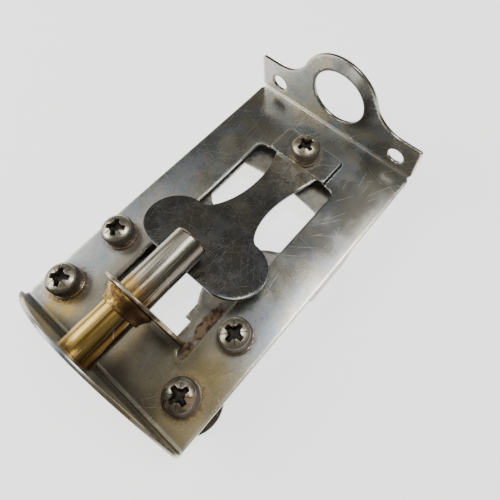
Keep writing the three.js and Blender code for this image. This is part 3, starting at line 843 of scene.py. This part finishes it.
class Look:
    """A metal material, built up from masks over the drawing frame in millimetres."""

    def __init__(self, name):
        self.material = bpy.data.materials.new(name)
        self.material.use_nodes = True
        self.tree = self.material.node_tree
        self.shader = self.tree.nodes["Principled BSDF"]
        self.shader.inputs["Metallic"].default_value = 1.0
        self.place = self.moved(self.node("TexCoord", {})["Object"], (1 / MM,) * 3, tuple(-ORIGIN))

    def join(self, value, socket):
        if isinstance(value, bpy.types.NodeSocket):
            self.tree.links.new(value, socket)
        else:
            socket.default_value = (*value, 1) if socket.type == "RGBA" else value

    def node(self, kind, inputs, **settings):
        """The outputs of a new node, whose inputs are given by name or number."""
        node = self.tree.nodes.new("ShaderNode" + kind)
        for name, value in settings.items():
            setattr(node, name, value)
        for name, value in inputs.items():
            self.join(value, node.inputs[name])
        return node.outputs

    def moved(self, vector, scale=(1, 1, 1), shift=(0, 0, 0)):
        return self.node("Mapping", {"Vector": vector, "Scale": scale, "Location": shift})[0]

    def math(self, operation, a, b=0.0):
        return self.node("Math", {0: a, 1: b}, operation=operation)[0]

    def times(self, *values):
        return functools.reduce(lambda a, b: self.math("MULTIPLY", a, b), values)

    def most(self, *values):
        return functools.reduce(lambda a, b: self.math("MAXIMUM", a, b), values)

    def off(self, value, at):
        """How far a value is from at."""
        return self.math("ABSOLUTE", self.math("SUBTRACT", value, at))

    def fade(self, value, start, end):
        """0 at start to 1 at end, eased."""
        rising = float(start < end)
        ends = {"From Min": min(start, end), "From Max": max(start, end),
                "To Min": 1 - rising, "To Max": rising}
        return self.node("MapRange", {"Value": value, **ends}, interpolation_type="SMOOTHSTEP")[0]

    def noise(self, scale, detail, roughness, shift, distortion=0.0):
        scale = scale if hasattr(scale, "__len__") else (scale,) * 3
        place = self.moved(self.place, scale, (shift, shift * 1.7, shift * 0.6))
        return self.node("TexNoise", {"Vector": place, "Scale": 1.0, "Detail": detail,
                                      "Roughness": roughness, "Distortion": distortion})["Fac"]

    def axis(self, index):
        return self.node("SeparateXYZ", {0: self.place})[index]

    def reach(self, centre, flatten=(1, 1, 0)):
        """Distance from a place, seen from above unless flatten says otherwise."""
        flat_centre = tuple(a * b for a, b in zip(centre, flatten))
        return self.node("VectorMath", {0: self.moved(self.place, flatten), 1: flat_centre},
                         operation="DISTANCE")["Value"]

    def dot(self, direction):
        return self.node("VectorMath", {0: self.place, 1: direction}, operation="DOT_PRODUCT")["Value"]

    def random(self, row, cell, seed):
        """Three random values for a cell of a grid."""
        grid = self.node("CombineXYZ", {0: row, 1: cell, 2: seed})[0]
        return self.node("SeparateColor", {0: self.node("TexWhiteNoise", {"Vector": grid})["Color"]})

    def scratches(self, turn, length, spacing, width, share, seed):
        """Thin, nearly straight scratches, each with a place and a length of its own."""
        c, s = math.cos(turn), math.sin(turn)
        wander = self.times(self.noise(0.06, 1.0, 0.5, seed), 2.5 * spacing ** 0.5)
        across = self.times(self.math("ADD", self.dot((-s, c, 0.7)), wander), 1 / spacing)
        row = self.math("FLOOR", across)
        start = self.times(self.random(row, 0.0, seed)[0], 9.0)
        along = self.math("ADD", self.times(self.dot((c, s, 0.5)), 1 / length), start)
        chosen, centre, reach = self.random(row, self.math("FLOOR", along), seed)
        off = self.off(self.math("FRACT", across), self.math("ADD", self.times(centre, 0.7), 0.15))
        line = self.fade(self.times(off, spacing), width, width * 0.3)
        middle = self.off(self.math("FRACT", along), 0.5)
        end = self.fade(self.math("SUBTRACT", self.times(reach, 0.45), middle), 0.0, 0.1)
        return self.times(line, end, self.math("LESS_THAN", chosen, share))

    def hatching(self, *rows):
        """Scratches of several directions, each row's values being those of scratches()."""
        return self.most(*[self.scratches(*row) for row in rows])

    def pits(self, scale, size, share, shift):
        place = self.moved(self.place, (scale,) * 3, (shift,) * 3)
        cells = self.node("TexVoronoi", {"Vector": place, "Scale": 1.0})
        red = self.node("SeparateColor", {0: cells["Color"]})[0]
        chosen = self.fade(red, 1 - share, 1 - share + 0.02)
        return self.times(self.fade(cells["Distance"], size, size * 0.4), chosen)

    def mix(self, factor, a, b, mode="MIX"):
        return self.node("Mix", {0: factor, 6: a, 7: b}, data_type="RGBA", blend_type=mode)[2]

    def stain(self, color, tint, *masks):
        """The colour mixed towards a tint by the product of the masks."""
        return self.mix(self.times(*masks), color, tint)

    def dim(self, color, tint, *masks):
        """The colour multiplied by a tint where the product of the masks is high."""
        return self.stain(color, self.mix(1.0, color, tint, "MULTIPLY"), *masks)

    def lerp(self, factor, a, b):
        return self.node("Mix", {0: factor, 2: a, 3: b}, data_type="FLOAT")[0]

    def finish(self, color, roughness, metallic, bump, depth):
        """The material; metallic is None for plain metal, and depth is the bump's, in mm."""
        self.join(color, self.shader.inputs["Base Color"])
        self.join(roughness, self.shader.inputs["Roughness"])
        if metallic:
            self.join(metallic, self.shader.inputs["Metallic"])
        relief = self.node("Bump", {"Strength": 1.0, "Distance": depth * MM, "Height": bump})[0]
        self.join(relief, self.shader.inputs["Normal"])
        return self.material


RUST = (0.16, 0.062, 0.018)
# Near-black brown: for pits, and for painted shade in the body's folds.
GRIME_AND_SHADE = (0.045, 0.035, 0.022)


def worn_sheet(look, warm, cool, patch, seed):
    """Colour, scratch and pit masks that the sheets share."""
    patches = look.fade(look.noise(patch, 4, 0.55, seed, 0.4), 0.38, 0.64)
    color = look.mix(patches, cool, warm)
    speckle = look.noise(1.1, 5, 0.7, seed + 3)
    color = look.dim(color, (0.74, 0.70, 0.63), look.fade(speckle, 0.40, 0.75), 0.7)
    lines = look.hatching((0.15, 16, 1.5, 0.022, 0.45, seed + 11), (-0.55, 12, 1.6, 0.020, 0.45, seed + 23),
                          (1.25, 14, 1.4, 0.022, 0.45, seed + 37), (2.2, 10, 1.8, 0.022, 0.40, seed + 41))
    pits = look.pits(0.9, 0.10, 0.14, seed)
    return color, lines, pits


def pad_light(look, x, y):
    """Painted highlights along the top and foot of the raised pad's flank, and painted shade on the flank
    itself.
    """
    past_end = look.most(look.math("SUBTRACT", x, PAD_END - PAD_CORNER), 0.0)
    past_side = look.most(look.math("SUBTRACT", look.math("ABSOLUTE", y), PAD_HALF_WIDTH - PAD_CORNER), 0.0)
    square = look.math("ADD", look.times(past_end, past_end), look.times(past_side, past_side))
    out = look.math("SUBTRACT", look.math("SQRT", square), PAD_CORNER)
    behind = look.math("GREATER_THAN", x, WINDOW_END)

    def line(at, half):
        return look.fade(look.off(out, at), half, half * 0.5)
    return (look.times(look.most(line(0.0, 0.14), line(PAD_FLANK + 0.18, 0.12)), behind),
            look.times(line(PAD_FLANK * 0.55, 0.26), behind))


def flange_depth(look):
    """Distance behind the middle of the leaning front flange's sheet."""
    slope = math.tan(FRONT_LEAN)
    foot = FRONT_BEND * (1 + math.sin(FRONT_LEAN)) - HALF
    return look.math("ADD", look.dot((1, 0, -slope)), FRONT_BEND * math.cos(FRONT_LEAN) + foot * slope)


def body_tones(look, color, blotch, x, y, z):
    """The broad changes of colour over the body: an olive eye flange with painted shade on its +y half,
    painted shade on the floor behind the front flange, a painted highlight at the far end of the -y edge, and
    heat-stained areas.
    """
    olive = look.fade(x, FLOOR_END + 0.2, FLOOR_END + 0.8)
    # Painted shade: the eye flange darkens towards its +y side, over its olive tone.
    eye_tone_and_shade = look.mix(look.fade(y, 0, 14), (0.34, 0.325, 0.255), (0.145, 0.138, 0.115))
    color = look.stain(color, eye_tone_and_shade, olive, 0.95)
    color = look.stain(color, (0.36, 0.32, 0.24), look.fade(look.noise(0.16, 4, 0.6, 14.0), 0.45, 0.62), 0.3)

    d_x, d_y = stack_place("d")
    color = look.stain(color, (0.60, 0.475, 0.225), look.fade(look.reach((d_x + 1, d_y - 3, 0)), 17, 5),
                       look.lerp(look.fade(look.noise(0.15, 3, 0.5, 6.0), 0.35, 0.65), 0.6, 0.9))
    # Painted shade on the floor behind the front flange and under the bolt's front.
    shade_behind_flange = look.times(look.fade(look.math("ABSOLUTE", y), 18, 13), look.fade(x, 31, 22),
                         look.fade(z, 2.0, 0.5))
    color = look.stain(color, (0.27, 0.24, 0.165), shade_behind_flange, 0.65)
    # Painted highlight at the far end of the -y edge.
    far_edge_highlight = look.times(look.fade(y, -13, -18), look.fade(x, 48, 60))
    color = look.stain(color, (0.78, 0.75, 0.67), far_edge_highlight, 0.45)
    b_x, b_y = stack_place("b")
    return look.stain(color, (0.62, 0.45, 0.16), look.fade(look.reach((b_x - 3.8, b_y - 2.5, 0)), 6.5, 2.0),
                      look.lerp(blotch, 0.35, 1.0))


def rust_rings(look, fine):
    """Rust round the foot of each screw: letter, outer radius, strength."""
    rings = [look.times(look.fade(look.reach((*stack_place(letter), 0)), edge, 4.0), amount)
             for letter, edge, amount in
             (("a", 5.4, 0.6), ("b", 6.0, 1.0), ("c", 5.0, 0.5), ("d", 6.0, 0.9), ("e", 5.2, 0.8))]
    return look.times(look.most(*rings), look.lerp(fine, 0.15, 1.0))


def fold_shade(look, fine, x, y, z):
    """Painted shade in the front flange's hollow and at the tongue's foot."""
    depth = flange_depth(look)
    band = look.times(look.fade(z, 12.5, 8.0), look.lerp(look.fade(z, 1.5, 4.5), 0.6, 1.0))
    hollow = look.times(look.fade(depth, 1.0, 0.7), look.fade(depth, -0.1, 0.1), band)
    foot = look.times(look.fade(look.off(x, TONGUE_BEND_X), 1.3, 0.3), look.fade(z, 1.6, 0.4),
                      look.fade(look.math("ABSOLUTE", y), 12, 10.5))
    return look.times(look.most(hollow, look.times(foot, 0.4)), look.lerp(fine, 0.75, 1.0))


def body_look():
    look = Look("worn rolled steel")
    x, y, z = (look.axis(i) for i in range(3))
    color, lines, pits = worn_sheet(look, (0.56, 0.525, 0.44), (0.39, 0.43, 0.465), 0.09, 2.0)
    fine = look.fade(look.noise(1.4, 4, 0.6, 8.0), 0.35, 0.65)
    blotch = look.fade(look.noise(0.5, 5, 0.6, 4.0), 0.38, 0.62)
    color = body_tones(look, color, blotch, x, y, z)
    rust, painted_shade = rust_rings(look, fine), fold_shade(look, fine, x, y, z)
    color = look.stain(color, RUST, rust, 0.75)
    # Painted shade in the front flange's hollow and at the tongue's foot.
    color = look.mix(painted_shade, color, GRIME_AND_SHADE)
    # Painted highlight along the front flange's inner bend.
    front_bend_highlight = look.times(look.fade(look.off(x, 0.25), 0.22, 0.10), look.fade(z, 1.6, 0.4))
    color = look.stain(color, (0.88, 0.85, 0.74), front_bend_highlight, 0.75)
    tongue = look.times(look.fade(z, 0.8, 2.0), look.fade(x, 17.0, 16.0), look.fade(x, 8.0, 9.0))
    color = look.stain(color, look.mix(blotch, (0.52, 0.44, 0.31), (0.22, 0.13, 0.06)), tongue, 0.8)
    # Painted highlight along the body's long edges.
    sides = look.fade(look.math("ABSOLUTE", y), HALF_WIDTH - 0.75, HALF_WIDTH - 0.2)
    color = look.stain(color, (0.84, 0.80, 0.68), sides, 0.6)

    color = look.stain(color, GRIME_AND_SHADE, pits, 0.6)
    color = look.dim(color, (0.72, 0.71, 0.68), look.fade(look.noise(3.2, 2, 0.5, 9.0), 0.35, 0.65), 0.4)
    color = look.stain(color, (0.80, 0.79, 0.76), lines, 0.4)
    color = look.stain(color, (0.12, 0.085, 0.045), look.pits(0.55, 0.16, 0.22, 17.0),
                       look.fade(x, 45, 10), 0.55)
    # Painted highlights on the pad's edges and painted shade on its flank.
    pad_edge_highlight, pad_flank_shade = pad_light(look, x, y)
    color = look.stain(color, (0.10, 0.085, 0.06), pad_flank_shade, 0.75)
    color = look.stain(color, (0.86, 0.84, 0.78), pad_edge_highlight, 0.7)
    # Painted highlight along the eye flange's inner bend.
    crease = look.times(look.fade(look.off(x, FLOOR_END + 0.35), 0.22, 0.10), look.fade(z, 1.5, 0.9))
    color = look.stain(color, (0.88, 0.86, 0.80), crease, 0.8)

    # Rust, and the painted shade of the folds, also roughen and dull the surface.
    rust_and_fold_shade = look.most(rust, painted_shade)
    roughness = look.lerp(look.fade(look.noise(0.13, 3, 0.5, 31.0), 0.35, 0.7), 0.20, 0.31)
    roughness = look.math("ADD", roughness, look.times(look.fade(x, 34, 18), 0.07))
    roughness = look.lerp(lines, look.lerp(rust_and_fold_shade, roughness, 0.62), 0.38)
    metallic = look.lerp(look.times(rust_and_fold_shade, 0.8), 1.0, 0.25)
    bump = look.math("SUBTRACT", look.times(look.noise(2.4, 4, 0.6, 5.0), 0.30),
                     look.most(look.times(lines, 0.3), pits))
    return look.finish(color, roughness, metallic, bump, 0.008)


def plate_look():
    look = Look("dull rolled steel")
    color, lines, pits = worn_sheet(look, (0.50, 0.47, 0.40), (0.34, 0.35, 0.35), 0.12, 50.0)
    blotch = look.fade(look.noise(0.7, 5, 0.65, 54.0), 0.40, 0.60)
    edge = look.times(look.math("SUBTRACT", look.noise(0.6, 3, 0.6, 55.0), 0.5), 2.0)
    wedge = look.fade(look.math("ADD", look.reach((21.5, -10.6, 0), (0.36, 1, 0)), edge), 2.3, 1.5)
    corner = look.fade(look.math("ADD", look.reach((14.2, -11.0, 0)), edge), 2.6, 1.4)
    top_side = look.fade(look.axis(2), PLATE_TOP - 0.7, PLATE_TOP - 0.3)
    rust = look.times(look.most(wedge, corner), look.lerp(blotch, 0.75, 1.0), top_side)
    color = look.stain(color, look.mix(blotch, (0.22, 0.105, 0.022), (0.052, 0.024, 0.009)), rust, 0.95)
    color = look.stain(color, GRIME_AND_SHADE, pits, 0.5)
    color = look.stain(color, (0.66, 0.65, 0.62), lines, 0.4)
    roughness = look.lerp(rust, look.lerp(blotch, 0.30, 0.42), 0.62)
    bump = look.math("SUBTRACT", look.noise(2.0, 5, 0.65, 57.0), look.times(lines, 0.4))
    return look.finish(color, roughness, look.lerp(rust, 1.0, 0.6), bump, 0.02)


def leaf_look():
    look = Look("scratched spring steel")
    color, lines, _ = worn_sheet(look, (0.27, 0.26, 0.235), (0.19, 0.20, 0.215), 0.11, 70.0)
    ragged = look.math("ADD", look.axis(0), look.times(look.noise(0.25, 3, 0.5, 71.0), 6.0))
    color = look.stain(color, (0.60, 0.56, 0.46), look.fade(ragged, 60.5, 65.0), 0.8)
    fine = look.hatching((0.5, 15, 0.9, 0.025, 0.60, 73.0), (-0.25, 12, 0.8, 0.022, 0.55, 79.0),
                         (1.0, 10, 0.9, 0.022, 0.55, 83.0), (-0.9, 9, 1.0, 0.025, 0.50, 89.0),
                         (1.7, 8, 0.9, 0.022, 0.50, 97.0))
    haze = look.fade(look.noise(0.07, 3, 0.5, 72.0), 0.42, 0.68)
    color = look.stain(color, (0.42, 0.42, 0.41), haze, 0.3)
    color = look.stain(color, (0.52, 0.52, 0.52), fine, look.lerp(haze, 0.14, 0.38))
    color = look.stain(color, (0.66, 0.65, 0.63), lines, 0.22)
    rub = look.fade(look.noise(0.22, 4, 0.6, 75.0), 0.36, 0.66)
    roughness = look.lerp(look.most(fine, lines), look.lerp(rub, 0.20, 0.33), 0.46)
    bump = look.math("SUBTRACT", look.times(look.noise(2.6, 4, 0.6, 77.0), 0.3),
                     look.most(look.times(fine, 0.4), look.times(lines, 0.5)))
    return look.finish(color, roughness, None, bump, 0.007)


def bolt_side(look):
    """-1 on the bolt's upper left side to 1 on its lower right side, seen from the front right."""
    lower_right = (0, -0.91, -0.415)
    return look.times(look.math("ADD", look.dot(lower_right), -lower_right[2] * BOLT_Z), 1 / BOLT_RADIUS)


def bolt_look():
    look = Look("heat-stained bar")
    x = look.axis(0)
    streaks = look.noise((0.05, 1.8, 1.8), 4, 0.6, 101.0)
    streaky = look.fade(streaks, 0.3, 0.7)
    steel = look.mix(streaky, (0.27, 0.25, 0.20), (0.58, 0.54, 0.45))
    warm = look.mix(streaky, (0.42, 0.255, 0.06), (0.62, 0.43, 0.135))
    ragged = look.math("ADD", x, look.times(look.math("SUBTRACT", look.noise(0.35, 4, 0.6, 103.0), 0.5), 7.0))
    gold = look.fade(ragged, 20.5, 14.5)
    color = look.mix(gold, steel, warm)
    blotch = look.fade(look.noise(0.8, 5, 0.65, 107.0), 0.42, 0.62)
    band, mouth = look.fade(look.off(ragged, 16.3), 2.4, 0.6), look.fade(ragged, 4.0, 0.6)
    burnt = look.times(look.most(look.times(band, 0.75), look.times(mouth, 0.6)),
                       look.lerp(blotch, 0.35, 1.0))
    color = look.stain(color, (0.26, 0.105, 0.02), burnt, 0.85)
    # Painted shade: the bolt's lower right side, seen from the front right, darkened.
    dark = look.mix(gold, (0.09, 0.078, 0.06), (0.052, 0.024, 0.007))
    color = look.stain(color, dark, look.fade(bolt_side(look), -0.05, 0.55), look.lerp(gold, 0.75, 0.93))
    far_end = look.fade(x, bolt_high.x - 0.75, bolt_high.x - 0.35)
    color = look.stain(color, (0.13, 0.07, 0.03), far_end, 0.7)
    lines = look.hatching((0.01, 22, 0.5, 0.07, 0.5, 109.0), (1.5, 4, 1.6, 0.05, 0.3, 113.0))
    color = look.stain(color, (0.84, 0.82, 0.78), lines, 0.4)
    pits = look.pits(1.3, 0.2, 0.2, 5.0)
    color = look.stain(color, GRIME_AND_SHADE, pits, 0.6)
    roughness = look.lerp(look.fade(streaks, 0.35, 0.65), 0.20, 0.33)
    roughness = look.lerp(look.times(burnt, 0.8), roughness, 0.5)
    bump = look.math("SUBTRACT", look.times(streaks, 0.5), look.most(look.times(lines, 0.5), pits))
    return look.finish(color, roughness, None, bump, 0.010)


def collar_look():
    look = Look("rusty gilt")
    blotch = look.fade(look.noise(0.9, 5, 0.65, 121.0), 0.40, 0.60)
    color = look.mix(blotch, (0.52, 0.34, 0.10), (0.17, 0.08, 0.020))
    # Painted shade on the collar's lower right side, seen from the front right.
    side = look.math("ADD", bolt_side(look), look.times(look.noise(0.5, 4, 0.6, 123.0), 0.5))
    low = look.fade(side, -0.35, 0.45)
    color = look.stain(color, (0.050, 0.026, 0.012), low, 0.95)
    roughness = look.lerp(look.most(blotch, low), 0.30, 0.50)
    return look.finish(color, roughness, look.lerp(blotch, 1.0, 0.7), look.noise(1.8, 5, 0.7, 125.0), 0.03)


def tick_shade(look, centre, turn, out):
    """Painted shade in the four radial marks between the wings of a screw's recess."""
    turn += QUARTER / 2
    c, s = math.cos(turn), math.sin(turn)

    def off_line(direction):
        return look.off(look.dot((*direction, 0)), direction[0] * centre[0] + direction[1] * centre[1])
    nearest = look.math("MINIMUM", off_line((c, s)), off_line((-s, c)))
    return look.times(look.fade(nearest, 0.13, 0.05), look.fade(out, 1.3, 1.5), look.fade(out, 2.9, 2.6))


def screw_shade(look, letter, centre):
    """Painted shade on a screw: in its recess and marks, on its side, and on either."""
    top, z, out = round_box(f"screw_{letter}")[3], look.axis(2), look.reach((*centre, 0))
    inside = look.times(look.fade(out, 2.8, 2.6), look.fade(z, top - 0.55, top - 0.8))
    inside = look.most(inside, tick_shade(look, centre, TURNS[letter], out))
    wall = look.fade(z, top - 0.80, top - 1.20)
    return inside, wall, look.most(inside, look.times(wall, 0.88))


def fastener_look(name, seed, light, dark, rust_share, screw=None):
    """Worn steel with rust in it; a screw's letter also paints shade into its recess, marks and sides."""
    look = Look(name)
    blotch = look.fade(look.noise(0.55, 5, 0.6, seed), 0.36, 0.64)
    color = look.mix(blotch, light, dark)
    rust_noise = look.noise(0.9, 5, 0.65, seed + 3)
    rust = look.fade(rust_noise, 0.64 - 0.3 * rust_share, 0.74 - 0.3 * rust_share)
    unshaded = 1.0
    if screw:
        centre = stack_place(screw)
        inside, wall, painted_shade = screw_shade(look, screw, centre)
        # Scratches are kept out of the painted shade.
        unshaded = look.math("SUBTRACT", 1.0, painted_shade)
        rust = look.times(rust, look.lerp(wall, 0.25, 0.8), look.math("SUBTRACT", 1.0, inside))
    color = look.stain(color, (0.24, 0.105, 0.032), rust, 0.7)
    if screw == "d":
        spot = look.times(look.fade(look.reach((centre[0] + 0.5, centre[1] - 2.2, 0)), 1.9, 0.8),
                          look.fade(rust_noise, 0.42, 0.56))
        color = look.stain(color, (0.44, 0.17, 0.03), spot, 0.9)
        rust = look.most(rust, spot)
        # Painted shade on screw d's -y side.
        lower = look.fade(look.dot((0.2, -1, 0)), -centre[1] + 1.4, -centre[1] + 3.6)
        color = look.stain(color, (0.22, 0.16, 0.10), lower, 0.6)
    if screw:
        # Painted shade, near black, in the recess and marks and on the side.
        shade_tone = look.mix(look.fade(rust_noise, 0.50, 0.66), (0.008, 0.006, 0.004), (0.085, 0.045, 0.018))
        color = look.mix(painted_shade, color, shade_tone)
    lines = look.hatching((0.4, 3, 0.6, 0.05, 0.4, seed + 7), (-1.0, 3, 0.7, 0.05, 0.4, seed + 9))
    color = look.stain(color, (0.72, 0.70, 0.66), lines, unshaded, 0.4)
    pits = look.pits(1.5, 0.2, 0.15, seed)
    color = look.stain(color, GRIME_AND_SHADE, pits, 0.5)
    rust_and_shade = look.most(rust, painted_shade) if screw else rust
    roughness = look.lerp(rust_and_shade, look.lerp(blotch, 0.24, 0.36), 0.6)
    bump = look.math("SUBTRACT", look.times(look.noise(2.2, 5, 0.65, seed + 5), 0.4),
                     look.most(look.times(lines, 0.5), pits))
    return look.finish(color, roughness, look.lerp(rust_and_shade, 1.0, 0.0), bump, 0.018)


# ---------------------------------------------------------------- camera, light and floor

CAMERA_PLACE = (-24.93, -36.80, 101.49)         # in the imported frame
CAMERA_TURN = (2.46554, -1.14457, 0.26426)      # from the frame to the view, axis times angle
FOCAL_LENGTH = 30.39
SENSOR = 36
SHIFT = (-0.0608, -0.0532)

FLOOR_REACH = 3.0                               # metres, as for the lights
LIGHT_DISTANCE = 0.5


def make_camera():
    data = bpy.data.cameras.new("camera")
    data.sensor_width, data.lens = SENSOR, FOCAL_LENGTH
    data.shift_x, data.shift_y = SHIFT
    data.clip_start = 0.01
    camera = bpy.context.scene.camera = placed("camera", data)
    axis = Vector(CAMERA_TURN)
    world_to_view = Matrix.Rotation(axis.length, 3, axis.normalized())
    view_to_camera = Matrix(((1, 0, 0), (0, -1, 0), (0, 0, -1)))
    turn = (view_to_camera @ world_to_view).transposed().to_4x4()
    camera.matrix_world = Matrix.Translation(Vector(CAMERA_PLACE) * MM) @ turn


def softbox(name, direction, size, power, color=(1, 1, 1)):
    """An area light that looks at the middle of the latch."""
    data = bpy.data.lights.new(name, "AREA")
    data.shape, data.size, data.size_y = "RECTANGLE", *size
    data.energy, data.color = power, color
    light = placed(name, data)
    away = Vector(direction).normalized()
    light.location = away * LIGHT_DISTANCE
    light.rotation_mode = "QUATERNION"
    light.rotation_quaternion = away.to_track_quat("Z", "Y")


def make_room():
    """Faint warm light from all round."""
    world = bpy.context.scene.world = bpy.data.worlds.new("studio")
    world.use_nodes = True
    background = world.node_tree.nodes["Background"]
    background.inputs["Color"].default_value = (1.0, 0.94, 0.82, 1)
    background.inputs["Strength"].default_value = 0.16


def make_floor():
    pale = bpy.data.materials.new("pale floor")
    pale.use_nodes = True
    shader = pale.node_tree.nodes["Principled BSDF"].inputs
    shader["Base Color"].default_value = (0.9, 0.9, 0.9, 1)
    shader["Roughness"].default_value = 0.9
    shader["Specular IOR Level"].default_value = 0.1
    shader["Emission Color"].default_value = (1, 1, 1, 1)
    shader["Emission Strength"].default_value = 1.6
    mesh = bpy.data.meshes.new("floor")
    corners = [(a * FLOOR_REACH, b * FLOOR_REACH, 0) for a, b in ((-1, -1), (1, -1), (1, 1), (-1, 1))]
    mesh.from_pydata(corners, [], [(0, 1, 2, 3)])
    mesh.materials.append(pale)
    placed("floor", mesh)


# ---------------------------------------------------------------- the latch

make_camera()
make_room()
make_floor()
softbox("overhead", (0.27, -0.18, 0.95), (0.17, 0.20), 0.95)
softbox("window", (-0.43, 0.69, 0.59), (0.44, 0.24), 1.7, (1, 0.99, 0.96))
softbox("fill", (-0.02, 0.50, 0.86), (0.24, 0.18), 0.12)
make_body(body_look())
make_plate(plate_look())
make_leaf(leaf_look())
make_bolt(bolt_look())
make_collar(collar_look())

STEELS = {
    "washer": fastener_look("washer steel", 140.0, (0.38, 0.34, 0.28), (0.22, 0.19, 0.145), 0.55),
    "spacer": fastener_look("spacer steel", 160.0, (0.32, 0.29, 0.24), (0.20, 0.175, 0.14), 0.4),
    "nut": fastener_look("nut steel", 180.0, (0.50, 0.48, 0.43), (0.36, 0.33, 0.28), 0.3),
    "sleeve": fastener_look("sleeve steel", 190.0, (0.15, 0.135, 0.12), (0.09, 0.08, 0.07), 0.05),
}
for number, stack in enumerate(STACKS):
    tone = (0.66, 0.57, 0.40) if stack == "e" else (0.60, 0.55, 0.45)
    screw_steel = fastener_look(f"screw steel {stack}", 200.0 + 13 * number, tone,
                                (0.36, 0.32, 0.25), 0.3, stack)
    make_stack(stack, screw_steel, STEELS)
